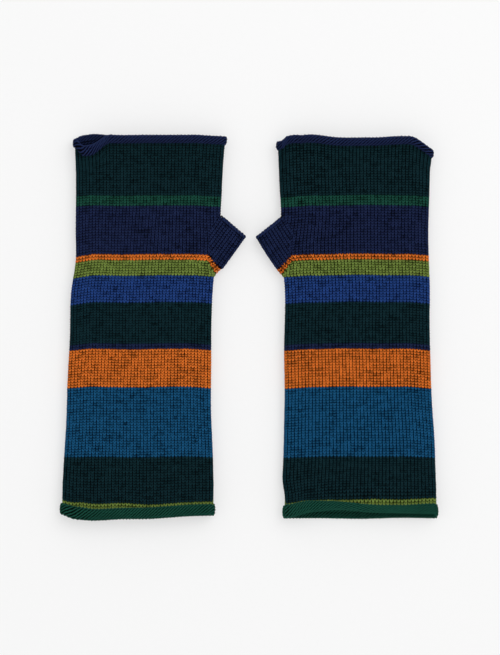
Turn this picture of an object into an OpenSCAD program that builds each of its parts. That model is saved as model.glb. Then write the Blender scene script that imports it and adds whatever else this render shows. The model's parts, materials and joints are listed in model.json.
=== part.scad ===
// A pair of fingerless knitted gloves lying flat side by side, thumbs towards each other.
// Millimetres, +Z up, +Y from cuff to knuckles. The origin is under the middle of the pair.
// One glove is drawn with its thumb at +X, its centre line at X = 0 and its cuff's edge at Y = 0,
// then placed or mirrored.

/* [Pair] */
// Distance between the centre lines of the two gloves
glove_spacing = 136.4; // [132:0.2:180]

/* [Outline] */
// Flat width at the cuff
cuff_w = 95; // [85:0.2:115]
// Flat width at the wrist fold
wrist_w = 88.8; // [80:0.2:108]
// Flat width at the knuckles
knuckle_w = 94.6; // [84:0.2:114]
// How far the hand leans sideways towards the thumb
hand_lean = 3.9; // [0:0.1:8]

/* [Fabric] */
// Thickness of the knitted wall
wall = 2; // [1.4:0.1:3]
// Height of the space between the two layers of the flat glove
hollow = 5.4; // [4.6:0.1:12]

/* [Stripes from cuff to knuckles] */
// Length of the rolled cuff hem
cuff_roll_len = 7.5; // [6:0.1:12]
// Length of the thin olive stripe
olive_stripe_len = 3.1; // [2:0.1:8]
// Length of the dark green cuff band
cuff_green_len = 28.2; // [15:0.1:45]
// Length of the teal band
teal_len = 43.7; // [25:0.1:60]
// Length of the wide orange band
wide_orange_len = 23.8; // [12:0.1:40]
// Length of the thin navy stripe
navy_stripe_len = 3.4; // [2:0.1:8]
// Length of the dark green band below the wrist
wrist_green_len = 25.9; // [15:0.1:40]
// Length of the royal blue band above the wrist
royal_len = 16.6; // [10:0.1:30]
// Length of the olive band
olive_len = 9.7; // [5:0.1:20]
// Length of the thin orange stripe
orange_stripe_len = 3.7; // [2:0.1:8]
// Length of the navy band that carries the thumb
thumb_navy_len = 30.3; // [25:0.1:45]
// Length of the thin mid green stripe
mid_green_len = 6.3; // [3:0.1:12]
// Length of the dark green knuckle band
knuckle_green_len = 32.8; // [18:0.1:45]
// Length of the rolled knuckle hem
knuckle_roll_len = 5.3; // [5:0.1:10]

/* [Hems] */
// Thickness of the curl at the cuff
cuff_roll_t = 4.2; // [3.2:0.1:5.5]
// Thickness of the curl at the knuckles
knuckle_roll_t = 3.8; // [3.2:0.1:5]
// Share of a curl's bulge that is left where the glove lies on it
under_squash = 0.45; // [0.2:0.05:0.6]

/* [Thumb] */
// Flat width of the thumb's mouth
thumb_w = 20; // [16:0.1:22]
// Angle of the thumb's mouth below a line straight across the glove, in degrees
thumb_angle = 42; // [30:1:50]
// Thickness of the thumb's wall
thumb_wall = 1.8; // [1.4:0.1:2.4]
// Height of the space inside the flat thumb
thumb_hollow = 5.2; // [4.6:0.1:8]
// Length of the cast-off edge round the thumb's mouth
thumb_edge_len = 1.8; // [1.6:0.1:3]
// How far the cast-off edge stands proud of the thumb's wall
thumb_edge_proud = 0.5; // [0.3:0.1:1]
// Sideways swell of the hand where the thumb grows out of it
gusset_swell = 3.3; // [1:0.1:6]
// How far the courses bend down at the foot of the thumb
gusset_drop = 8; // [4:0.1:8]
// Width of the strip in which they bend
gusset_run = 10; // [6:0.1:16]

/* [Clearances] */
// Gap between two parts of a glove that fold against each other
fold_gap = 0.3; // [0.2:0.05:0.5]
// Distance from the thumb's crotch to the end of the navy band
crotch_margin = 4.4; // [4:0.1:8]
// Edge left round the thumb's hole in the hand
hole_rim = 1.6; // [1.4:0.1:3]

/* [Hidden] */
// Points round each ring, and the longest step along a band
ROUND = 28;
STEP = 12;
// Powers that make the flat glove's section: almost flat faces and round side folds
SIDE_POWER = 0.5;
FACE_POWER = 0.5;
// The underside is flattened where the section reaches this share of its depth
FLAT_SHARE = 1.04;
// Distance over which a hem's lift fades into the flat glove, and the cuff keeps its width
HEM_FADE = 20;
// Distance over which the hand leans
LEAN_RUN = 65;
// Segment angle of the curls
CURL_STEP = 30;

olive_stripe_y = cuff_roll_len;
cuff_green_y = olive_stripe_y + olive_stripe_len;
teal_y = cuff_green_y + cuff_green_len;
wide_orange_y = teal_y + teal_len;
navy_stripe_y = wide_orange_y + wide_orange_len;
wrist_green_y = navy_stripe_y + navy_stripe_len;
fold_y = wrist_green_y + wrist_green_len;
olive_y = fold_y + royal_len;
orange_stripe_y = olive_y + olive_len;
thumb_navy_y = orange_stripe_y + orange_stripe_len;
mid_green_y = thumb_navy_y + thumb_navy_len;
knuckle_green_y = mid_green_y + mid_green_len;
knuckle_roll_y = knuckle_green_y + knuckle_green_len;
total_len = knuckle_roll_y + knuckle_roll_len;

// The thumb's foot, crotch and root plane, and the directions along and across its mouth
thumb_x = max([for (k = [0:0.1:1]) edge_x(mix(thumb_navy_y, mid_green_y, k))]) + fold_gap;
foot_y = thumb_navy_y - gusset_drop;
crotch_y = mid_green_y - crotch_margin;
mouth_across = [cos(thumb_angle), -sin(thumb_angle)];
mouth_out = [sin(thumb_angle), cos(thumb_angle)];
thumb_mid_z = thumb_hollow / 2 + thumb_wall;

SIDES = ["left_", "right_"];
PIECES = [
    "cuff_roll", "olive_stripe", "cuff_green_band", "teal_band", "wide_orange_band",
    "navy_stripe", "wrist_green_band", "royal_band", "olive_band", "orange_stripe",
    "thumb_navy_band", "mid_green_stripe", "knuckle_green_band", "knuckle_roll",
    "thumb_tube", "thumb_edge"
];

function mix(a, b, t) = a + (b - a) * t;
function ramp(a, b, y) = min(1, max(0, (y - a) / (b - a)));
function smooth(a, b, y) = let (t = ramp(a, b, y)) t * t * (3 - 2 * t);
function spread(v, power) = sign(v) * pow(abs(v), power);

// The flat outline: width, sideways lean and swell at the distance y from the cuff's edge
function forearm_w(y) = mix(wrist_w, cuff_w, pow(1 - ramp(HEM_FADE, fold_y, y), 2));
function hand_w(y) = mix(wrist_w, knuckle_w, pow(ramp(fold_y, total_len, y), 2));
function flat_w(y) = y < fold_y ? forearm_w(y) : hand_w(y);
function lean(y) = hand_lean * smooth(fold_y, fold_y + LEAN_RUN, y);
function swell(y) = gusset_swell * smooth(olive_y, thumb_navy_y, y) * (1 - smooth(thumb_navy_y, mid_green_y, y));
function edge_x(y) = lean(y) + flat_w(y) / 2 + swell(y);

// The hems lie on their curls, so the fabric behind them is lifted
function hem_lift(y) =
    under_squash * ((cuff_roll_t - wall) * (1 - smooth(cuff_roll_len, cuff_roll_len + HEM_FADE, y))
        + (knuckle_roll_t - wall) * smooth(knuckle_roll_y - HEM_FADE, knuckle_roll_y, y));

// Courses dip towards the foot of the thumb
function dip(y) = smooth(olive_y, orange_stripe_y, y) * (1 - smooth(thumb_navy_y, mid_green_y, y));

// Depth below the middle of the section at angle a, flattened underneath, for a layer this thick
function depth(a, above, below) =
    sin(a) >= 0 ? above * spread(sin(a), FACE_POWER)
        : below * max(-1, FLAT_SHARE * spread(sin(a), FACE_POWER));

// A point of the glove on course y, at offset out from the inner face, at angle a round the tube
function glove_point(y, out, a) =
    let (
        proud = max(0, out - wall),
        side = cos(a) > 0 ? swell(y) : 0,
        half = flat_w(y) / 2 - wall + out + side,
        x = lean(y) + half * spread(cos(a), SIDE_POWER),
        under = hollow / 2 + out - proud * (1 - under_squash),
        z = hollow / 2 + wall + hem_lift(y) + depth(a, hollow / 2 + out, under),
        run = ramp(edge_x(y) - gusset_run, edge_x(y), x)
    )
    [x, y - gusset_drop * dip(y) * run, z];

// A point of the thumb: along runs from 0 at the root to 1 at the mouth, then beyond it in millimetres
function thumb_end(along, inner) =
    let (
        t = min(1, along),
        beyond = mouth_out * max(0, along - 1),
        root = [thumb_x, inner ? crotch_y - crotch_margin : foot_y + fold_gap],
        crotch = [thumb_x + fold_gap, crotch_y] - mouth_out * thumb_edge_len,
        mouth = inner ? crotch : crotch + mouth_across * thumb_w
    )
    mix(root, mouth, t) + beyond;
function thumb_point(along, out, a) =
    let (
        near = thumb_end(along, true),
        far = thumb_end(along, false),
        half = norm(far - near) / 2 - thumb_wall + out,
        at = (near + far) / 2 + (far - near) / norm(far - near) * half * spread(cos(a), SIDE_POWER),
        under = thumb_hollow / 2 + min(out, thumb_wall)
    )
    [at.x, at.y, thumb_mid_z + depth(a, thumb_hollow / 2 + out, under)];

// A closed ring whose cut face has the outline profile, as [distance along, offset out] pairs.
// Its closing strip is split along the other diagonal, so that it matches the ring it meets.
module ring(profile, place) {
    m = len(profile);
    points = [for (i = [0:ROUND - 1], p = profile) place(p[0], p[1], 360 * i / ROUND)];
    faces = [for (i = [0:ROUND - 1], j = [0:m - 1])
        let (
            a = i * m + j,
            b = i * m + (j + 1) % m,
            c = (i + 1) % ROUND * m + (j + 1) % m,
            d = (i + 1) % ROUND * m + j
        )
        each j == m - 1 ? [[a, d, b], [b, d, c]] : [[a, c, b], [a, d, c]]];
    polyhedron(points, faces, convexity = 6);
}

// A band of the knitted tube from y0 to y1
module band(y0, y1) {
    n = max(1, round((y1 - y0) / STEP));
    inner = [for (k = [0:n]) [mix(y1, y0, k / n), 0]];
    outer = [for (k = [0:n]) [mix(y0, y1, k / n), wall]];
    ring(concat(inner, outer), function (y, out, a) glove_point(y, out, a));
}

// A hem that curls outwards: its wall starts at distance len from the edge and its curl is thick
module curl(len, thick, from_edge) {
    turn = thick / 2;
    lip = thick - wall;
    profile = concat(
        [[len, 0]],
        [for (a = [0:CURL_STEP:180]) [turn * (1 - sin(a)), turn * (1 - cos(a))]],
        [for (a = [0:CURL_STEP:90]) [len - lip * (1 - sin(a)), wall + lip * cos(a)]]
    );
    ring(profile, from_edge);
}

module cuff_roll() {
    color("#17382f") curl(cuff_roll_len, cuff_roll_t, function (y, out, a) glove_point(y, out, a));
}
module olive_stripe() {
    color("#384a26") band(olive_stripe_y, cuff_green_y);
}
module cuff_green_band() {
    color("#0b1f24") band(cuff_green_y, teal_y);
}
module teal_band() {
    color("#0f3a58") band(teal_y, wide_orange_y);
}
module wide_orange_band() {
    color("#a6551e") band(wide_orange_y, navy_stripe_y);
}
module navy_stripe() {
    color("#141c36") band(navy_stripe_y, wrist_green_y);
}
module wrist_green_band() {
    color("#0b1f24") band(wrist_green_y, fold_y - fold_gap / 2);
}
module royal_band() {
    color("#1a3264") band(fold_y + fold_gap / 2, olive_y);
}
module olive_band() {
    color("#4f5d28") band(olive_y, orange_stripe_y);
}
module orange_stripe() {
    color("#9d521f") band(orange_stripe_y, thumb_navy_y);
}
module thumb_navy_band() {
    near = foot_y + fold_gap + hole_rim;
    far = crotch_y - crotch_margin - hole_rim;
    color("#141c36") difference() {
        band(thumb_navy_y, mid_green_y);
        translate([thumb_x - gusset_run, near, thumb_wall]) cube([2 * gusset_run, far - near, thumb_hollow]);
    }
}
module mid_green_stripe() {
    color("#123a2e") band(mid_green_y, knuckle_green_y);
}
module knuckle_green_band() {
    color("#0b1f24") band(knuckle_green_y, knuckle_roll_y);
}
module knuckle_roll() {
    color("#1a2340") mirror([0, 1, 0]) translate([0, -total_len, 0])
        curl(knuckle_roll_len, knuckle_roll_t, function (y, out, a)
            let (p = glove_point(total_len - y, out, a)) [p.x, total_len - p.y, p.z]);
}
module thumb_tube() {
    sections = 4;
    inner = [for (k = [0:sections]) [1 - k / sections, 0]];
    outer = [for (k = [0:sections]) [k / sections, thumb_wall]];
    color("#141c36") ring(concat(inner, outer), function (t, out, a) thumb_point(t, out, a));
}
module thumb_edge() {
    thick = thumb_wall + thumb_edge_proud;
    bevel = thick / 4;
    profile = [
        [0, 0], [0, thumb_wall], [bevel, thick], [thumb_edge_len - bevel, thick],
        [thumb_edge_len, thick - bevel], [thumb_edge_len, bevel], [thumb_edge_len - bevel, 0]
    ];
    color("#1a2340") ring(profile, function (d, out, a) thumb_point(1 + d, out, a));
}

module left() {
    translate([-glove_spacing / 2, -total_len / 2, 0]) children();
}
module right() {
    translate([glove_spacing / 2, -total_len / 2, 0]) mirror([1, 0, 0]) children();
}

left() cuff_roll();  // left_cuff_roll
left() olive_stripe();  // left_olive_stripe
left() cuff_green_band();  // left_cuff_green_band
left() teal_band();  // left_teal_band
left() wide_orange_band();  // left_wide_orange_band
left() navy_stripe();  // left_navy_stripe
left() wrist_green_band();  // left_wrist_green_band
left() royal_band();  // left_royal_band
left() olive_band();  // left_olive_band
left() orange_stripe();  // left_orange_stripe
left() thumb_navy_band();  // left_thumb_navy_band
left() mid_green_stripe();  // left_mid_green_stripe
left() knuckle_green_band();  // left_knuckle_green_band
left() knuckle_roll();  // left_knuckle_roll
left() thumb_tube();  // left_thumb_tube
left() thumb_edge();  // left_thumb_edge
right() cuff_roll();  // right_cuff_roll
right() olive_stripe();  // right_olive_stripe
right() cuff_green_band();  // right_cuff_green_band
right() teal_band();  // right_teal_band
right() wide_orange_band();  // right_wide_orange_band
right() navy_stripe();  // right_navy_stripe
right() wrist_green_band();  // right_wrist_green_band
right() royal_band();  // right_royal_band
right() olive_band();  // right_olive_band
right() orange_stripe();  // right_orange_stripe
right() thumb_navy_band();  // right_thumb_navy_band
right() mid_green_stripe();  // right_mid_green_stripe
right() knuckle_green_band();  // right_knuckle_green_band
right() knuckle_roll();  // right_knuckle_roll
right() thumb_tube();  // right_thumb_tube
right() thumb_edge();  // right_thumb_edge
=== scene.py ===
import json
from math import pi, radians, tau

import bpy
import numpy as np
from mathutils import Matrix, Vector


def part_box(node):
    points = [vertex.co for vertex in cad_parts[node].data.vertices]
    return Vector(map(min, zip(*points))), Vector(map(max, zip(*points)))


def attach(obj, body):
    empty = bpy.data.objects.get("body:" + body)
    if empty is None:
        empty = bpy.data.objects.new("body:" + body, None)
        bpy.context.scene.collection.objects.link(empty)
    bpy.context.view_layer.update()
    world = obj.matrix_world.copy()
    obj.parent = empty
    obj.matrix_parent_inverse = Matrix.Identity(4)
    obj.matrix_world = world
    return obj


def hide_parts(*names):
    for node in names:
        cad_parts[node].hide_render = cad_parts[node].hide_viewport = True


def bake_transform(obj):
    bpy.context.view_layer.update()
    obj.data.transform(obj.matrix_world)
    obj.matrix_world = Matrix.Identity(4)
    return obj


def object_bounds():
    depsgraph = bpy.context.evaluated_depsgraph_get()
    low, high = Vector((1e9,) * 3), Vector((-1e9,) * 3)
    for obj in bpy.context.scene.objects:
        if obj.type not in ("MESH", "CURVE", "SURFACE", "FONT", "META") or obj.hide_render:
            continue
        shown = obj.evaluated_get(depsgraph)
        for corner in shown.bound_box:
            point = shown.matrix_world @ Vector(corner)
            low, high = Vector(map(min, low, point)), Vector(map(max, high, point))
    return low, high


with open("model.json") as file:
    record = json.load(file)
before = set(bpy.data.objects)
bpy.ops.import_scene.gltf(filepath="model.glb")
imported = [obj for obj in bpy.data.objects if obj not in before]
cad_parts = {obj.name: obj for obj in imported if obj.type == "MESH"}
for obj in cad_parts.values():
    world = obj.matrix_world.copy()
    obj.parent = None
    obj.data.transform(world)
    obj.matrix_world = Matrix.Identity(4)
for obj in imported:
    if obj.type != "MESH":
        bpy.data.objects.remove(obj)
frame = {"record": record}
size_at_load = [list(corner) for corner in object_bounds()]

# Millimetres in a glove's own frame: x towards its thumb, y from the cuff, z up.
MM = 0.001
LENGTH = (size_at_load[1][1] - size_at_load[0][1]) / MM
# How far a glove's middle lies from the pair's
CENTRE = -sum(c.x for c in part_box("left_cuff_roll")) / 2 / MM


def band_end(piece):
    """How far from the cuff's edge a band of the part ends."""
    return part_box("left_" + piece)[1].y / MM + LENGTH / 2


# The bands from cuff to knuckles: node, courses of knitting and yarn
BANDS = [
    ("olive_stripe", 3, "olive_yarn"),
    ("cuff_green_band", 17, "dark_green_yarn"),
    ("teal_band", 26, "teal_yarn"),
    ("wide_orange_band", 14, "orange_yarn"),
    ("navy_stripe", 2, "navy_yarn"),
    ("wrist_green_band", 16, "dark_green_yarn"),
    ("royal_band", 10, "royal_yarn"),
    ("olive_band", 6, "olive_yarn"),
    ("orange_stripe", 2, "orange_yarn"),
    ("thumb_navy_band", 18, "navy_yarn"),
    ("mid_green_stripe", 4, "bottle_green_yarn"),
    ("knuckle_green_band", 20, "dark_green_yarn"),
]
HEM_Y = band_end("cuff_roll")
FOLD_Y = band_end("wrist_green_band")
OLIVE_Y = band_end("royal_band")
ORANGE_Y = band_end("olive_band")
NAVY_Y = band_end("orange_stripe")
GREEN_Y = band_end("thumb_navy_band")
ROLL_Y = band_end("knuckle_green_band")

# The part's outline and section
CUFF_W, WRIST_W, KNUCKLE_W = 95, 88.8, 94.6
CUFF_STRAIGHT = 20
HAND_LEAN, LEAN_RUN = 3.9, 65
WALL = 2
HALF_DEPTH = 3.7
MIDDLE_Z = 4.7
# How far the hems' thickness holds the cloth off the table, and how far from a hem that goes
CUFF_LIFT, KNUCKLE_LIFT = 1.0, 0.8
LIFT_RUN = 20
# How much of a hem's thickness is pressed away on the underside and at the side folds
UNDER_PRESS, SIDE_PRESS = 0.62, 0.6
# The lowest that the middle of a yarn lies before the table holds it up
TABLE_Z = 0.5

# Knitting
STITCHES = 88  # round the glove
YARN_R = 0.41
LOOP_DEPTH = 0.45  # how far a loop's legs stand out, and its head and feet lie in
LOOP_LEAN = 1.5  # how far a loop's legs lean across its stitch
LOOP_PINCH = 0.38  # how far its legs are drawn together under its head
LOOP_SHARE = 0.9  # half the height of a loop, as a share of its course
UNEVEN_S, UNEVEN_V, UNEVEN_W = 0.03, 0.05, 0.04  # spread of a stitch in place, height and depth
SEGMENTS = 12  # steps along a stitch
SIDES = 5  # of a yarn
MOST_COURSES = 18  # in one piece
NORMAL_STEP = 0.2  # height above a yarn at which the fabric's normal is taken

# Hems: half length and half thickness of the curl, how far round it goes, and how it tightens
CUFF_CURL = (3.3, 1.8)
KNUCKLE_CURL = (2.25, 1.6)
CURL_END = radians(300)
CURL_TIGHT = 0.42
CURL_STEPS = 120
# How much of the olive stripe lies under the curl
OLIVE_UNDER = 2.4
# A hem's purl side: a course's height, the tighter yarn, half a loop's share of its course,
# tilt of its heads, and rows of web to a course
HEM_COURSE = 1.66
HEM_YARN_R = 0.37
HEM_SHARE = 0.75
HEM_TILT = 0.38
HEM_WEB_ROWS = 3

# Tones: painted light and shade, with a spread from stitch to stitch, that make a place lighter or
# darker for the wool's colour
LEG_TONE, LEG_DARK = 2.6, 1.0  # plain side: painted highlight along a leg where it stands out, painted shade where it lies in, and what it is lowered by
PURL_TONE = 2.1  # painted light and shade on a hem's purl side: light where its loops stand out, dark where they lie in
FOLD_TONE = 0.8  # painted highlight along a hem's fold
CUFF_FOLD_RUN, KNUCKLE_FOLD_RUN = 1.0, 1.5  # width of that light
KNUCKLE_LIGHT = 0.3  # light of the knuckles' hem
EDGE_TONE = 1.2  # light of the thumb's edge
WEB_PAINTED_SHADE = -1.1  # painted shade on the fibre web, standing for the shade in the gaps between the stitches
STRETCH_TONE = 1.2  # how much lighter that painted shade is where the web is stretched
TINT = 0.2  # spread from stitch to stitch

# Thumb: foot and tip of its outer fold, its crotch, and the seam where it leaves the hand
FOOT = np.array([50.1, 157.5])
TIP = np.array([64.4, 177.4])
CROTCH = np.array([50.4, 188.8])
SEAM = np.array([[49.7, 157.1], [42.4, 165.5], [41.6, 180.6], [49.8, 190.8]])
THUMB_Z = 4.4
THUMB_DEPTH = 3.4
THUMB_ROUND = 9.0  # how far in from the outer fold the section is rounded
CROTCH_ROUND = 5.0  # how far from the crotch the two faces come together
THUMB_STITCH = 2.12
THUMB_COURSES = 15
THUMB_BULGE, BULGE_RUN = 0.2, 25  # bow of the outer fold, and its length
THUMB_WEB_ACROSS = 40
SEAM_OVERLAP = 0.5  # stitches that a cut course goes past the seam
SEAM_DEPTH = 0.5  # how deep its ends go in there
# Cast-off edge: yarn radius, half width and half height of the twist, how far back from the mouth
# it lies, how far it stands out on the front and in at the fold, and its distance from the crotch
EDGE_R = 1.35 * YARN_R
EDGE_TWIST = (0.6, 0.5)
EDGE_WAY = 0.2
EDGE_PROUD = 0.45
EDGE_FOLD_IN = 0.25
EDGE_SHORT = 0.3
EDGE_STEPS = 36  # along one turn of the twist
# Gusset: where it starts, how far the courses run down at the fold, how far up that dies out,
# and how far it stands out
GUSSET_FOOT = 152.0
GUSSET_DROP, DROP_END = 8.9, 4
GUSSET_SWELL = 4.0


def ramp(a, b, v):
    """0 at a, 1 at b and straight between them."""
    return np.clip((v - a) / (b - a), 0, 1)


def smooth(a, b, v):
    """0 at a, 1 at b and soft at both ends."""
    t = ramp(a, b, v)
    return t * t * (3 - 2 * t)


def bump(v, middle, width):
    """1 at the middle, falling to 0 on both sides."""
    return np.exp(-(((v - middle) / width) ** 2))


# ---------------------------------------------------------------- shape of a glove


def flat_w(y):
    """Flat width of the glove at the distance y from the cuff's edge."""
    fore = WRIST_W + (CUFF_W - WRIST_W) * (1 - ramp(CUFF_STRAIGHT, FOLD_Y, y)) ** 2
    hand = WRIST_W + (KNUCKLE_W - WRIST_W) * ramp(FOLD_Y, LENGTH, y) ** 2
    return np.where(y < FOLD_Y, fore, hand)


def lean(y):
    """How far the hand leans towards the thumb."""
    return HAND_LEAN * smooth(FOLD_Y, FOLD_Y + LEAN_RUN, y)


def gusset_drop(y):
    """How far the courses at the thumb's foot run down at the side fold."""
    return GUSSET_DROP * smooth(OLIVE_Y, ORANGE_Y, y) * (1 - smooth(NAVY_Y, NAVY_Y + DROP_END, y))


def swell(y):
    """How far the side fold stands out for the thumb."""
    up = ramp(GUSSET_FOOT, FOOT[1], y - gusset_drop(y))
    return GUSSET_SWELL * up * (1 - smooth(NAVY_Y, GREEN_Y, y))


def section():
    """Share of the way round the section, and the direction there, on a flat four-power oval."""
    a = np.linspace(0, tau, 8001)
    cx = np.sign(np.cos(a)) * np.sqrt(np.abs(np.cos(a)))
    cz = np.sign(np.sin(a)) * np.sqrt(np.abs(np.sin(a)))
    step = np.hypot(np.diff(cx * (WRIST_W + CUFF_W) / 4), np.diff(cz * HALF_DEPTH))
    way = np.concatenate([[0], np.cumsum(step)])
    return way / way[-1], cx, cz


SECTION = section()


def around(s):
    """Direction from the section's middle at stitch s."""
    share, cx, cz = SECTION
    f = np.mod(s / STITCHES, 1)
    return np.interp(f, share, cx), np.interp(f, share, cz)


def curl(straight, size):
    """A hem's path: distance along it, distance towards the edge, distance out and its normal."""
    a, b = size
    turn = np.linspace(0, CURL_END, CURL_STEPS)
    tight = 1 - CURL_TIGHT * smooth(pi, 1.2 * tau, turn)
    edge = np.concatenate([[0], straight + a * tight * np.sin(turn)])
    out = np.concatenate([[0], b - b * tight * np.cos(turn)])
    way = np.concatenate([[0], np.cumsum(np.hypot(np.diff(edge), np.diff(out)))])
    te, to = np.gradient(edge, way), np.gradient(out, way)
    along = np.hypot(te, to)
    return way, edge, out, -to / along, te / along


def fabric_path():
    """The fabric from the cuff's inner end to the knuckles' inner end: way, y, out and normal."""
    r = YARN_R + LOOP_DEPTH
    cuff = curl(HEM_Y - CUFF_CURL[0] - r, CUFF_CURL)
    knuckle = curl(LENGTH - ROLL_Y - KNUCKLE_CURL[0] - r, KNUCKLE_CURL)
    way = np.concatenate([HEM_Y - cuff[0][::-1], ROLL_Y + knuckle[0]])
    y = np.concatenate([HEM_Y - cuff[1][::-1], ROLL_Y + knuckle[1]])
    out = np.concatenate([cuff[2][::-1], knuckle[2]])
    ny = np.concatenate([-cuff[3][::-1], knuckle[3]])
    no = np.concatenate([cuff[4][::-1], knuckle[4]])
    return way, y, out, ny, no


PATH = fabric_path()
CUFF_END, KNUCKLE_END = PATH[0][0], PATH[0][-1]
CUFF_FOLD = PATH[0][np.argmin(PATH[1])]
KNUCKLE_FOLD = PATH[0][np.argmax(PATH[1])]


def hem_lift(y):
    """How far the hems hold the cloth beside them off the table."""
    cuff = CUFF_LIFT * (1 - smooth(HEM_Y, HEM_Y + LIFT_RUN, y))
    return cuff + KNUCKLE_LIFT * smooth(ROLL_Y - LIFT_RUN, ROLL_Y, y)


def settle(z):
    """Keeps yarn that would go through the table on top of it."""
    return np.where(z < TABLE_Z, TABLE_Z * np.exp((z - TABLE_Z) / TABLE_Z), z)


def hand_shape(glove, s, way, w):
    """A point of the glove at stitch s, way along the fabric and w out of its middle.

    The section's direction goes round the flat oval, and a hem's path carries the point in along
    the glove and out from the section, pressed flat under the glove and at its side folds.
    """
    cx, cz = around(s)
    way, fat = glove.hem(way, cx, cz)
    y, out, ny, no = (np.interp(way, PATH[0], column) for column in PATH[1:])
    base = np.where(way < FOLD_Y, 0, LENGTH)
    out = out * fat
    y = base + (y - base) * fat
    half = flat_w(y) / 2 - WALL / 2 + glove.wider + np.where(cx > 0, swell(y), 0)
    nx, nz = cx**3 / half, cz**3 / HALF_DEPTH
    size = np.hypot(nx, nz)
    under = 1 - UNDER_PRESS * smooth(0, 0.8, -cz)
    at_fold = 1 - SIDE_PRESS * smooth(0.93, 1, np.abs(cx))
    reach = out * (under * at_fold) + no * w
    x = lean(y) + half * cx + nx / size * reach
    z = MIDDLE_Z + hem_lift(y) + HALF_DEPTH * cz + nz / size * reach
    edge = lean(y) + half + WALL / 2
    y = y + ny * w - gusset_drop(y) * ramp(SEAM[1, 0] - 0.8, edge, x)
    return glove.rumple(x, y, z, cz)


class Glove:
    """One glove of the pair: where it lies and how it is rumpled."""

    def __init__(self, side, seed):
        self.side = side
        self.sign = -1 if side == "left" else 1
        self.rng = np.random.default_rng(seed)
        self.phase = self.rng.uniform(0, tau, 12)
        self.wider = 0.2 if side == "left" else 1.3

    def hem(self, way, cx, cz):
        """Where way lies once more or less of the cuff is rolled up, and how fat the rolls are."""
        front = smooth(-0.3, 0.6, cz)
        x = cx * CUFF_W / 2
        if self.side == "left":
            rolled = (1.5 * smooth(-15, 12, x) + 1.3 * smooth(-35, -46, x)) * front
            fat = np.where(way < FOLD_Y, 0.15, 0.45) * bump(x, -38, 8)
        else:
            rolled = (3.0 * smooth(-12, 15, x) - 0.8 * smooth(28, 45, x)) * front
            rolled = rolled - 1.8 * (1 - front)
            fat = -0.36 + 0.2 * smooth(-25, -46, x) + 0.55 * smooth(5, 45, x)
            fat = np.where(way < FOLD_Y, fat, 0)
        near_cuff = 1 - smooth(HEM_Y + 4, HEM_Y + 24, way)
        near_roll = 1 - smooth(HEM_Y - 3, HEM_Y + 10, way) + smooth(ROLL_Y - 8, ROLL_Y + 2, way)
        return way - rolled * near_cuff, 1 + fat * front * near_roll

    def rumple(self, x, y, z, cz):
        """A point of the flat glove as this one's cloth lies."""
        front = smooth(-0.3, 0.6, cz)
        dx, dy, lift = self.waves(x, y, front)
        lie = left_lie if self.side == "left" else right_lie
        more_x, more_y, more_lift = lie(x, y, front)
        return x + dx + more_x, y + dy + more_y, settle(z + (lift + more_lift) * front)

    def waves(self, x, y, front):
        """Small waves in the outline, the courses and the surface."""
        p = self.phase
        dx = 0.2 * np.sin(y / 19 + p[0]) + 0.15 * np.sin(y / 8.3 + p[1] + x / 40)
        dy = 0.2 * np.sin(x / 17 + p[2]) + 0.12 * np.sin(x / 7.1 + p[3] + y / 60)
        dy = dy - 1.0 * smooth(30, 47, np.abs(x)) * smooth(20, 60, y)
        lift = 0.35 * np.sin(x / 13 + p[4]) * np.sin(y / 21 + p[5])
        lift = lift + 0.2 * np.sin(x / 6.1 + p[6] + y / 9) * front
        return dx, dy, lift

    def place(self, x, y, z):
        """Metres in the shared frame."""
        return np.stack([self.sign * (CENTRE - x), y - LENGTH / 2, z], -1) * MM


def near_mouth(y):
    """1 at the cuff, falling to 0 where its sag has died out."""
    return 1 - smooth(10, 42, y)


def left_lie(x, y, front):
    """The left glove's own lie: a slant, a sagging cuff and a corner that has rolled down."""
    dx = 0.017 * (y - 140) + 1.4 * bump(y, 163, 14) * smooth(0, -40, x)
    top = smooth(LENGTH - 28, LENGTH - 6, y)
    corner = smooth(-20, -33, x) * smooth(-44, -37, x) * top * front
    ends = top * (1.2 * bump(x, -30, 9) - 3 * smooth(-38, -48, x)) - 6.8 * corner
    sag = 2.2 * smooth(-38, -48, x) + 1.6 * smooth(0, 45, x) - 1.2 * bump(x, -27, 14)
    droop = 1.3 * smooth(-26, -46, x) * smooth(90, 140, y) * (1 - smooth(180, 200, y))
    return dx, ends + sag * near_mouth(y) - droop, 1.2 * corner


def right_lie(x, y, front):
    """The right glove's own lie: bowed sides, an arched cuff and drooping ends at the knuckles."""
    dx = 0.9 * smooth(40, 110, y) - 2.2 * smooth(150, 200, y)
    dx = dx - 2.3 * smooth(28, 12, y) * smooth(25, 47, x)
    top = smooth(LENGTH - 25, LENGTH - 5, y)
    dx = dx - 0.4 * top * smooth(-25, -44, x)
    thumb_end = 2.5 * smooth(46, 50, x) - 1.4 * smooth(36, 43, x)
    far_end = 8 * smooth(-30, -48, x) - 1.2 * smooth(-8, -28, x)
    ends = top * (2.2 * bump(x, 33, 14) - 1.9 - thumb_end - far_end)
    arch = (3.6 + 2.0 * bump(x, 12, 16) - 3.2 * smooth(30, 50, x)) * front
    back = 0.9 * bump(x, 0, 30) * (1 - front)
    return dx, ends + (arch - back) * near_mouth(y), 0


# ---------------------------------------------------------------- yarn


def uneven(rng, count, at, size):
    """A random value along a course, a new one for each stitch, with straight runs between."""
    values = rng.normal(0, size, count + 1)
    return np.interp(at, np.arange(count + 1), values)


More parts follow.
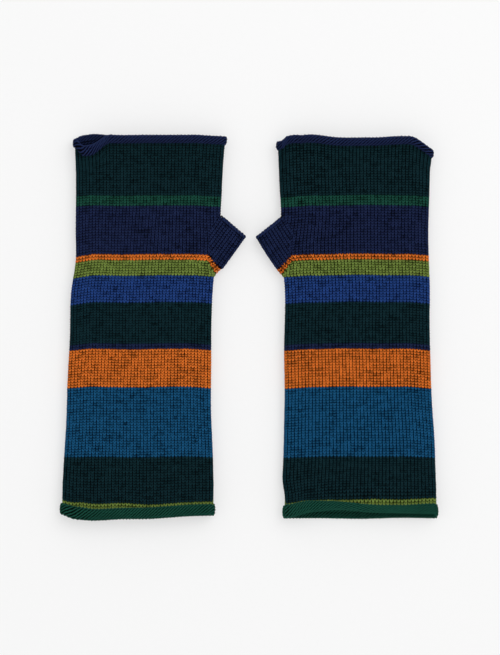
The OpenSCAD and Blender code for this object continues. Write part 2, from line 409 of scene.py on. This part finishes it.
def loops(rng, first, last, pitch, share=LOOP_SHARE, tilt=0):
    """One course of plain stitches from first to last: stitch, height, depth and tint."""
    count = int(round((last - first) * SEGMENTS))
    t = np.arange(count + 1) * tau / SEGMENTS
    at = t / tau
    stitches = int(np.ceil(at[-1])) + 1
    x = t + LOOP_LEAN * np.sin(2 * t) - LOOP_PINCH * np.sin(t)
    s = first + x / tau + uneven(rng, stitches, at, UNEVEN_S)
    tall = 1 + uneven(rng, stitches, at, UNEVEN_V)
    v = pitch * (share * np.cos(t) * tall + tilt * np.sin(2 * t))
    w = -LOOP_DEPTH * np.cos(2 * t) + uneven(rng, stitches, at, UNEVEN_W)
    return s, v, w, uneven(rng, stitches, at, TINT)


def leg_painted_light(w):
    """Painted light of a plain stitch: a painted highlight halfway up its legs, where they stand out,
    and painted shade where they lie in.
    """
    return LEG_TONE * w / LOOP_DEPTH - LEG_DARK


def laid(glove, shape, s, way, w):
    """Centre line of a yarn, and the fabric's normal along it in metres."""
    line = glove.place(*shape(glove, s, way, w))
    above = glove.place(*shape(glove, s, way, w + NORMAL_STEP))
    return line, above - line


def tube(line, normal, radius, closed):
    """Rings of a yarn round its centre line."""
    if closed:
        along = np.roll(line, -1, 0) - np.roll(line, 1, 0)
    else:
        along = np.gradient(line, axis=0)
    along /= np.linalg.norm(along, axis=1)[:, None]
    side = np.cross(along, normal)
    side /= np.linalg.norm(side, axis=1)[:, None]
    up = np.cross(side, along)
    a = np.arange(SIDES) * tau / SIDES
    around_it = side[:, None] * np.cos(a)[:, None] + up[:, None] * np.sin(a)[:, None]
    return line[:, None] + around_it * (radius * MM)[:, None, None]


def quads(rings, sides, closed, round_it):
    """Faces of a grid of points and the ring and side number of each corner."""
    i = np.arange(rings if closed else rings - 1)
    j = np.arange(sides if round_it else sides - 1)
    i, j = (v.ravel() for v in np.meshgrid(i, j, indexing="ij"))
    ring = np.stack([i, i + 1, i + 1, i], -1)
    side = np.stack([j, j, j + 1, j + 1], -1)
    return ring % rings * sides + side % sides, ring, side


def strand(line, normal, painted_light_and_tint, radius, closed):
    """A yarn as a block of a mesh: points, faces, map along it in mm, place in its strip, painted
    light and shade with tint.
    """
    rings = tube(line, normal, radius, closed)
    faces, ring, side = quads(len(rings), SIDES, closed, True)
    step = np.linalg.norm(np.diff(line, axis=0), axis=1).mean() / MM
    along = np.stack([ring * step, side / SIDES], -1)
    strip = np.stack([ring / (len(rings) - 1 + closed), side / SIDES], -1)
    return rings.reshape(-1, 3), faces, along, strip, np.repeat(painted_light_and_tint, SIDES)


def web(glove, shape, s, way, painted_light_and_tint, closed):
    """The haze of fibres between the faces of the knitting, which closes its holes, coloured with
    painted shade for the gaps.
    """
    rings, rows = s.shape
    points = glove.place(*shape(glove, s.ravel(), way.ravel(), np.zeros(s.size)))
    faces, ring, row = quads(rings, rows, closed, False)
    along = np.stack([ring, row], -1).astype(float)
    strip = np.stack([ring / (rings - 1 + closed), row / (rows - 1)], -1)
    return points, faces, along, strip, painted_light_and_tint.ravel()


def whole_web(glove, start, end, rows):
    """The web all the way round the glove, painted dark as shade in the gaps, and lighter where the
    thumb's gusset stretches it.
    """
    ways = np.linspace(start, end, rows + 1)
    s, way = np.meshgrid(np.arange(2 * STITCHES) / 2, ways, indexing="ij")
    stretch = smooth(0.75, 0.9, around(s)[0]) * gusset_drop(way) / GUSSET_DROP
    return web(glove, hand_shape, s, way, WEB_PAINTED_SHADE + STRETCH_TONE * stretch, True)


# How much of its share of the baking map a strip fills
STRIP_FILL = 0.92


def knit(name, blocks, material):
    """One mesh from yarns and webs, each with its own strip of the map for baking."""
    points, faces, along, strips, painted_light_and_tint = zip(*blocks)
    first = np.cumsum([0] + [len(block) for block in points[:-1]])
    mesh = bpy.data.meshes.new(name)
    fill_mesh(mesh, np.concatenate(points), np.concatenate([f + n for f, n in zip(faces, first)]))
    low, count = (1 - STRIP_FILL) / 2, len(blocks)
    strips = [(strip * (1, STRIP_FILL) + (0, k + low)) / (1, count) for k, strip in enumerate(strips)]
    for layer, values in (("yarn", along), ("OFBake", strips)):
        uv = mesh.uv_layers.new(name=layer)
        uv.uv.foreach_set("vector", np.concatenate(values).ravel().astype(np.float32))
    mesh.uv_layers["yarn"].active_render = True
    # The painted light and shade, with the stitches' tint, that the wool's colour follows
    attribute = mesh.attributes.new("painted_light_and_tint", "FLOAT", "POINT")
    attribute.data.foreach_set("value", np.concatenate(painted_light_and_tint).astype(np.float32))
    mesh.shade_smooth()
    mesh.materials.append(material)
    obj = bpy.data.objects.new(name, mesh)
    bpy.context.scene.collection.objects.link(obj)
    return obj


def fill_mesh(mesh, points, faces):
    """Gives an empty mesh its points and four-sided faces."""
    mesh.vertices.add(len(points))
    mesh.vertices.foreach_set("co", points.ravel().astype(np.float32))
    mesh.loops.add(faces.size)
    mesh.loops.foreach_set("vertex_index", faces.ravel().astype(np.int32))
    mesh.polygons.add(len(faces))
    mesh.polygons.foreach_set("loop_start", np.arange(0, faces.size, 4, dtype=np.int32))
    mesh.update(calc_edges=True)


# ---------------------------------------------------------------- courses


def whole_course(glove, way, pitch):
    """A course that goes all the way round the glove."""
    s, v, w, tint = (column[:-1] for column in loops(glove.rng, 0, STITCHES, pitch))
    line = laid(glove, hand_shape, s, way + v, w)
    return strand(*line, leg_painted_light(w) + tint, np.full(len(s), YARN_R), True)


def hem_course(glove, way, pitch):
    """A course of a curl, whose purl side shows as slanting rows, with a painted highlight along the
    fold.
    """
    course = loops(glove.rng, 0, STITCHES, pitch, HEM_SHARE, -glove.sign * HEM_TILT)
    s, v, w, tint = (column[:-1] for column in course)
    rolled = glove.hem(way + v, *around(s))[0]
    fold = bump(rolled, CUFF_FOLD, CUFF_FOLD_RUN) + bump(rolled, KNUCKLE_FOLD, KNUCKLE_FOLD_RUN)
    line = laid(glove, hand_shape, s, way + v, w)
    # Painted highlight along the fold, painted light and shade on the purl loops, a lighter knuckle
    # hem, and the stitches' tint
    painted_light_and_tint = FOLD_TONE * fold - PURL_TONE * w / LOOP_DEPTH + KNUCKLE_LIGHT * (way > FOLD_Y) + tint
    return strand(*line, painted_light_and_tint, np.full(len(s), HEM_YARN_R), True)


def seam_x(y):
    """Where the thumb's seam crosses a course of the hand."""
    return np.interp(y, SEAM[:, 1], SEAM[:, 0])


def tuck(s, first, last):
    """How deep the ends of a cut course go into the seam."""
    return 1 - smooth(0, 1, np.minimum(s - first, last - s))


def cut_strand(glove, shape, course, first, last, way, up):
    """The stitches of a course from first to last, with its ends tucked into the seam.

    up is 1 where way grows towards the heads of the loops, and -1 where it grows away from them.
    """
    s, v, w, tint = (column[(course[0] > first) & (course[0] < last)] for column in course)
    deep = tuck(s, first, last)
    line = laid(glove, shape, s, way + up * v, w - SEAM_DEPTH * deep)
    return strand(*line, leg_painted_light(w) + tint, YARN_R * (1 - 0.5 * deep), False)


def cut_course(glove, way, pitch):
    """A course of the hand that stops at the thumb's seam on both faces."""
    share, cx, _ = SECTION
    quarter = len(share) // 4
    reach = (seam_x(way) - lean(way)) / (flat_w(way) / 2 - WALL / 2 + swell(way))
    first = np.interp(-reach, -cx[:quarter], share[:quarter]) * STITCHES - SEAM_OVERLAP
    course = loops(glove.rng, 0, STITCHES, pitch)
    return cut_strand(glove, hand_shape, course, first, STITCHES - first, way, 1)


def split(courses):
    """Even groups of at most MOST_COURSES courses."""
    groups = -(-len(courses) // MOST_COURSES)
    size = -(-len(courses) // groups)
    return [courses[i : i + size] for i in range(0, len(courses), size)]


def course_maker(node, way, pitch):
    """Which kind of course a band has at way: in the thumb's band some stop at the seam."""
    top = way + pitch / 2
    crossed = SEAM[0, 1] < top < SEAM[-1, 1] + pitch / 2
    return cut_course if node == "thumb_navy_band" and crossed else whole_course


def band_pieces(glove, node, start, end, count, material):
    """A band's courses, with the web behind them, in as many pieces as they need."""
    pitch = (end - start) / count
    ways = start + (np.arange(count) + 0.5) * pitch
    groups = split([course_maker(node, way, pitch)(glove, way, pitch) for way in ways])
    below = start
    for group in groups:
        above = below + len(group) * pitch
        group.append(whole_web(glove, below, above, len(group)))
        below = above
    ends = ("_a", "_b", "_c") if len(groups) > 1 else ("",)
    name = f"{glove.side}_{node}_knit"
    return [knit(name + letter, group, material) for letter, group in zip(ends, groups)]


def hem_piece(glove, node, start, end, material):
    """A hem, from where it leaves its band to its free end inside the curl."""
    count = int(round(abs(end - start) / HEM_COURSE))
    pitch = abs(end - start) / count
    ways = min(start, end) + (np.arange(count) + 0.5) * pitch
    courses = [hem_course(glove, way, pitch) for way in ways]
    courses.append(whole_web(glove, *sorted((start, end)), HEM_WEB_ROWS * count))
    return knit(f"{glove.side}_{node}_knit", courses, material)


# ---------------------------------------------------------------- thumb


def thumb_section():
    """Way in from the outer fold along the fabric, distance in and depth, for a round fold."""
    flat_end = 60
    q = np.concatenate([THUMB_ROUND * np.linspace(0, 1, 400) ** 3, [flat_end]])
    depth = (1 - (1 - np.minimum(q / THUMB_ROUND, 1)) ** 4) ** 0.25
    way = np.concatenate([[0], np.cumsum(np.hypot(np.diff(q), np.diff(depth * THUMB_DEPTH)))])
    return way, q, depth


THUMB_SECTION = thumb_section()
THUMB_LENGTH = np.linalg.norm(TIP - FOOT)
THUMB_W = np.linalg.norm(CROTCH - TIP)
OUTWARD = (TIP - FOOT) / THUMB_LENGTH
INWARD = (CROTCH - TIP) / THUMB_W


def thumb_shape(glove, s, way, w):
    """A point of the thumb at stitch s from its outer fold, way back from its mouth and w out."""
    arc, q, depth = THUMB_SECTION
    far = np.abs(s) * THUMB_STITCH
    inward, deep = np.interp(far, arc, q), np.interp(far, arc, depth)
    slope = np.gradient(depth * THUMB_DEPTH, arc)
    rise = np.interp(far, arc, slope)
    face = np.sign(s)
    inward = inward - THUMB_BULGE * np.sin(pi * ramp(0, BULGE_RUN, way))
    x, y = TIP[:, None] - np.outer(OUTWARD, way) + np.outer(INWARD, inward)
    to_crotch = np.hypot(x - CROTCH[0], y - CROTCH[1])
    deep = deep * (1 - (1 - ramp(-0.4, CROTCH_ROUND, to_crotch)) ** 4) ** 0.25
    run = np.sqrt(1 - np.clip(rise, -1, 1) ** 2)
    out = -np.clip(rise, 0, 1) * w
    x, y = x + INWARD[0] * out, y + INWARD[1] * out
    z = THUMB_Z + face * (THUMB_DEPTH * deep + run * w)
    return glove.rumple(x, y, z, face * deep)


def seam_reach(way):
    """How far in from the outer fold a course of the thumb meets the seam."""
    best = 1e9
    start = TIP - OUTWARD * way
    for a, b in zip(SEAM[:-1], SEAM[1:]):
        m = np.array([INWARD, a - b]).T
        q, k = np.linalg.solve(m, a - start)
        if 0 <= k <= 1.02:
            best = min(best, q)
    return best


def thumb_reach(way):
    """The stitches from the thumb's outer fold to the seam."""
    arc, q, _ = THUMB_SECTION
    return np.interp(seam_reach(way), q, arc) / THUMB_STITCH


def thumb_course(glove, way, pitch):
    """A course of the thumb, from the seam on one face round the outer fold to the other."""
    reach = thumb_reach(way) + SEAM_OVERLAP
    most = np.ceil(reach) + 1
    course = loops(glove.rng, -most, most, pitch)
    return cut_strand(glove, thumb_shape, course, -reach, reach, way, -1)


def thumb_tube(glove, material):
    """The thumb's courses from its mouth back to the seam, with the web behind them."""
    pitch = THUMB_LENGTH / THUMB_COURSES
    courses = [thumb_course(glove, (j + 0.5) * pitch, pitch) for j in range(THUMB_COURSES)]
    rows = np.arange(THUMB_COURSES + 1) * pitch
    across = np.linspace(-1, 1, THUMB_WEB_ACROSS)[:, None] * [thumb_reach(way) for way in rows]
    ways = np.tile(rows, (THUMB_WEB_ACROSS, 1))
    # The web's dark is painted shade for the gaps between the thumb's stitches
    dark = np.full(across.shape, WEB_PAINTED_SHADE)
    courses.append(web(glove, thumb_shape, across, ways, dark, False))
    return knit(f"{glove.side}_thumb_tube_knit", courses, material)


def thumb_edge(glove, material):
    """The cast-off edge: two strands laid round each other along the thumb's mouth."""
    arc, q, _ = THUMB_SECTION
    reach = np.interp(THUMB_W - EDGE_SHORT, q, arc) / THUMB_STITCH
    turns = int(round(reach))
    t = np.linspace(0, 1, turns * EDGE_STEPS, endpoint=False)
    # No step lies right on the fold, which belongs to neither face
    s = reach * (2 * t - 1) + 1e-4
    proud = EDGE_PROUD * smooth(0, 2, s) - EDGE_FOLD_IN * bump(s, 0, 1)
    wide, high = EDGE_TWIST
    strands = []
    for phase in (0, pi):
        twist = tau * turns * t + phase
        way = EDGE_WAY + wide * np.cos(twist)
        line = laid(glove, thumb_shape, s, way, proud + high * np.sin(twist))
        # Painted highlight where a strand of the twist stands out and painted shade where it lies in,
        # on the edge's lighter tone
        painted_light_and_tint = np.sin(twist) + EDGE_TONE
        strands.append(strand(*line, painted_light_and_tint, np.full(len(s), EDGE_R), True))
    return knit(f"{glove.side}_thumb_edge_knit", strands, material)


# ---------------------------------------------------------------- materials


class Tree:
    """A short way to add nodes to a material."""

    def __init__(self, name):
        self.material = bpy.data.materials.new(name)
        self.material.use_nodes = True
        self.nodes = self.material.node_tree.nodes
        self.links = self.material.node_tree.links
        self.shader = self.nodes["Principled BSDF"]

    def add(self, kind, inputs=(), **settings):
        node = self.nodes.new(kind)
        for key, value in settings.items():
            setattr(node, key, value)
        for socket, value in dict(inputs).items():
            if isinstance(value, bpy.types.NodeSocket):
                self.links.new(value, node.inputs[socket])
            else:
                node.inputs[socket].default_value = value
        return node

    def math(self, operation, a, b=0.0):
        return self.add("ShaderNodeMath", {0: a, 1: b}, operation=operation).outputs[0]

    def noise(self, where, scale, detail):
        inputs = {"Vector": where, "Scale": scale, "Detail": detail}
        return self.add("ShaderNodeTexNoise", inputs).outputs[0]


# Each yarn's share of the part's flat colour, because the lighter places in it are brighter
DYE = {
    "orange_yarn": 0.86,
    "royal_yarn": 0.77,
    "navy_yarn": 0.8,
    "teal_yarn": 0.93,
    "dark_green_yarn": 0.83,
    "bottle_green_yarn": 0.74,
}
# Wool: plies and the length of their twist in mm, and noise scales per metre
PLIES = 3.0
PLY_TURN = 1.3
FLECK_SCALE, PATCH_SCALE, FIBRE_SCALE = 900.0, 160.0, 4000.0
# What the patches, the painted ply shade and the painted light, shade and tint add to the flecks, and
# the tone taken off them all
PATCH, PLY_SHADE, PAINTED_AND_TINT_GAIN, TONE_OFF = 0.15, 0.25, 0.58, 0.555
# Shares of the yarn's colour in its darkest and lightest places, and the tone of the darkest
DARK, LIGHT = 0.12, 2.6
DARK_TONE = 0.1


def shade(colour, k):
    """A colour k times as bright."""
    return [min(1, c * k) for c in colour[:3]] + [1]


def twisted(t):
    """The plies of the yarn, by the yarn's own lengthwise map: 0 between two, 1 on top of one."""
    uv = t.add("ShaderNodeUVMap", uv_map="yarn").outputs[0]
    along, turn, _ = t.add("ShaderNodeSeparateXYZ", {0: uv}).outputs
    twist = t.math("ADD", t.math("MULTIPLY", along, 1 / PLY_TURN), t.math("MULTIPLY", turn, PLIES))
    return t.math("ABSOLUTE", t.math("SINE", t.math("MULTIPLY", twist, pi)))


def wool(slot, colour):
    """Three-ply heathered wool, flecked and patched by place, with painted shade between its plies
    and painted light and shade from the mesh.
    """
    t = Tree(slot)
    ply = twisted(t)
    where = t.add("ShaderNodeTexCoord").outputs["Object"]
    fleck = t.noise(where, FLECK_SCALE, 3.0)
    patch = t.noise(where, PATCH_SCALE, 2.0)
    painted_light_and_tint = t.add("ShaderNodeAttribute", attribute_name="painted_light_and_tint").outputs["Fac"]
    tone = t.math("ADD", fleck, t.math("MULTIPLY", patch, PATCH))
    # Painted shade in the grooves between the plies
    tone = t.math("ADD", tone, t.math("MULTIPLY", ply, PLY_SHADE))
    # Painted light and shade, and tint, carried by the mesh
    tone = t.math("ADD", tone, t.math("MULTIPLY", painted_light_and_tint, PAINTED_AND_TINT_GAIN))
    ramp_node = t.add("ShaderNodeValToRGB", {0: t.math("SUBTRACT", tone, TONE_OFF)})
    dark, light = ramp_node.color_ramp.elements
    dark.position, dark.color = DARK_TONE, shade(colour, DARK)
    light.position, light.color = 1.0, shade(colour, LIGHT)
    t.links.new(ramp_node.outputs[0], t.shader.inputs["Base Color"])
    height = t.math("ADD", ply, t.math("MULTIPLY", t.noise(where, FIBRE_SCALE, 2.0), 0.6))
    relief = t.add("ShaderNodeBump", {"Strength": 0.6, "Distance": 0.00012, "Height": height})
    t.links.new(relief.outputs[0], t.shader.inputs["Normal"])
    t.shader.inputs["Roughness"].default_value = 0.95
    t.shader.inputs["Specular IOR Level"].default_value = 0.03
    return t.material


# ---------------------------------------------------------------- the two gloves


def finish_piece(glove, node):
    """Hides the CAD node whose place a piece takes."""
    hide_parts(f"{glove.side}_{node}")


def along_wrist(obj):
    """Bakes fabric at the wrist fold into place in the shared frame, on no body."""
    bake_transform(obj)


def along_thumb(obj):
    """Bakes the thumb's piece into place in the shared frame, on no body."""
    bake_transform(obj)


def add_hem(glove, node, start, end, slot, body):
    """A hem, which rides on one body."""
    obj = hem_piece(glove, node, start, end, wools[slot])
    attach(obj, f"{glove.side}_{body}")
    finish_piece(glove, node)


def add_band(glove, node, start, end, count, slot):
    """A band, which rides on one body, or at the wrist is baked in place."""
    for obj in band_pieces(glove, node, start, end, count, wools[slot]):
        if node in ("royal_band", "olive_band"):
            along_wrist(obj)
        else:
            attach(obj, f"{glove.side}_forearm" if end <= FOLD_Y else f"{glove.side}_hand")
        finish_piece(glove, node)


def make_glove(side, seed):
    """A glove from its cuff to its knuckles, and then its thumb."""
    glove = Glove(side, seed)
    start = HEM_Y - OLIVE_UNDER
    add_hem(glove, "cuff_roll", start, CUFF_END, "bottle_green_yarn", "forearm")
    for node, count, slot in BANDS:
        end = band_end(node)
        add_band(glove, node, start, end, count, slot)
        start = end
    add_hem(glove, "knuckle_roll", ROLL_Y, KNUCKLE_END, "navy_yarn", "hand")
    for node, make in (("thumb_tube", thumb_tube), ("thumb_edge", thumb_edge)):
        obj = make(glove, wools["navy_yarn"])
        along_thumb(obj)
        finish_piece(glove, node)


# ---------------------------------------------------------------- camera and light

# In metres, with the sensor in millimetres
CAMERA_Z = 1.6
SENSOR = 36
# What the picture takes in along its long side, at which height, and where its middle lies
VIEW_LENGTH, VIEW_Z, VIEW_Y = 0.4094, 0.008, -0.0005
# The paper: just under the gloves, its two greys, how white it looks by itself,
# and how much of that white is its own, which thins the shadows on it
PAPER_Z = -0.0003
PAPER_GREYS = (0.925, 0.945)
PAPER_WHITE = 0.96
PAPER_GLOW = 0.5
WORLD_LIGHT = 0.78


def grey(value):
    """An even grey, up to white at 1."""
    return (value, value, value, 1)


def make_camera():
    """Straight down, with the pair in the middle of a tall frame."""
    data = bpy.data.cameras.new("camera")
    data.sensor_width = SENSOR
    data.lens = SENSOR * (CAMERA_Z - VIEW_Z) / VIEW_LENGTH
    cam = bpy.data.objects.new("camera", data)
    cam.location = (0, VIEW_Y, CAMERA_Z)
    bpy.context.scene.collection.objects.link(cam)
    bpy.context.scene.camera = cam


def area_light(name, place, aim, size, power):
    """A soft square lamp that faces the point aim."""
    data = bpy.data.lights.new(name, "AREA")
    data.size = size
    data.energy = power
    lamp = bpy.data.objects.new(name, data)
    lamp.location = place
    lamp.rotation_mode = "QUATERNION"
    lamp.rotation_quaternion = (Vector(aim) - Vector(place)).to_track_quat("-Z", "Y")
    bpy.context.scene.collection.objects.link(lamp)


def paper():
    """White paper with a faint grain, which glows a little where it is seen but lights nothing."""
    t = Tree("floor_paper")
    where = t.add("ShaderNodeTexCoord").outputs["Object"]
    grain = t.add("ShaderNodeTexNoise", {"Vector": where, "Scale": 300.0}).outputs[0]
    mix = t.add("ShaderNodeMix", {0: grain}, data_type="RGBA")
    mix.inputs[6].default_value = grey(PAPER_GREYS[0])
    mix.inputs[7].default_value = grey(PAPER_GREYS[1])
    t.links.new(mix.outputs[2], t.shader.inputs["Base Color"])
    t.shader.inputs["Roughness"].default_value = 0.9
    rays = t.add("ShaderNodeLightPath").outputs
    seen = t.math("MAXIMUM", rays["Is Camera Ray"], rays["Is Glossy Ray"])
    seen = t.math("MAXIMUM", seen, rays["Is Transmission Ray"])
    white = {"Color": grey(PAPER_WHITE), "Strength": 1.0}
    glow = t.add("ShaderNodeEmission", white).outputs[0]
    share = t.math("MULTIPLY", seen, PAPER_GLOW)
    both = t.add("ShaderNodeMixShader", {0: share, 1: t.shader.outputs[0], 2: glow}).outputs[0]
    t.links.new(both, t.nodes["Material Output"].inputs["Surface"])
    return t.material


def make_floor():
    """The sheet of paper that the gloves lie on."""
    bpy.ops.mesh.primitive_plane_add(size=6, location=(0, 0, PAPER_Z))
    floor = bpy.context.object
    floor.name = "floor"
    floor.data.materials.append(paper())


def make_world():
    """Even light from all round, and the paper's white where the camera sees past the paper."""
    world = bpy.data.worlds.new("studio")
    world.use_nodes = True
    nodes, links = world.node_tree.nodes, world.node_tree.links
    nodes["Background"].inputs[0].default_value = grey(1)
    strength = nodes.new("ShaderNodeMath")
    strength.operation = "MULTIPLY_ADD"
    strength.inputs[1].default_value = PAPER_WHITE - WORLD_LIGHT
    strength.inputs[2].default_value = WORLD_LIGHT
    links.new(nodes.new("ShaderNodeLightPath").outputs["Is Camera Ray"], strength.inputs[0])
    links.new(strength.outputs[0], nodes["Background"].inputs[1])
    bpy.context.scene.world = world
    bpy.context.scene.view_settings.view_transform = "Standard"


make_camera()
make_floor()
area_light("key", (0.8, 0.8, 1.7), (0, 0, 0), 1.5, 13)
make_world()
colours = {m["slot"]: m["base_color"] for m in frame["record"]["materials"]}
wools = {name: wool(name, shade(colour, DYE.get(name, 1))) for name, colour in colours.items()}
make_glove("left", 3)
make_glove("right", 8)
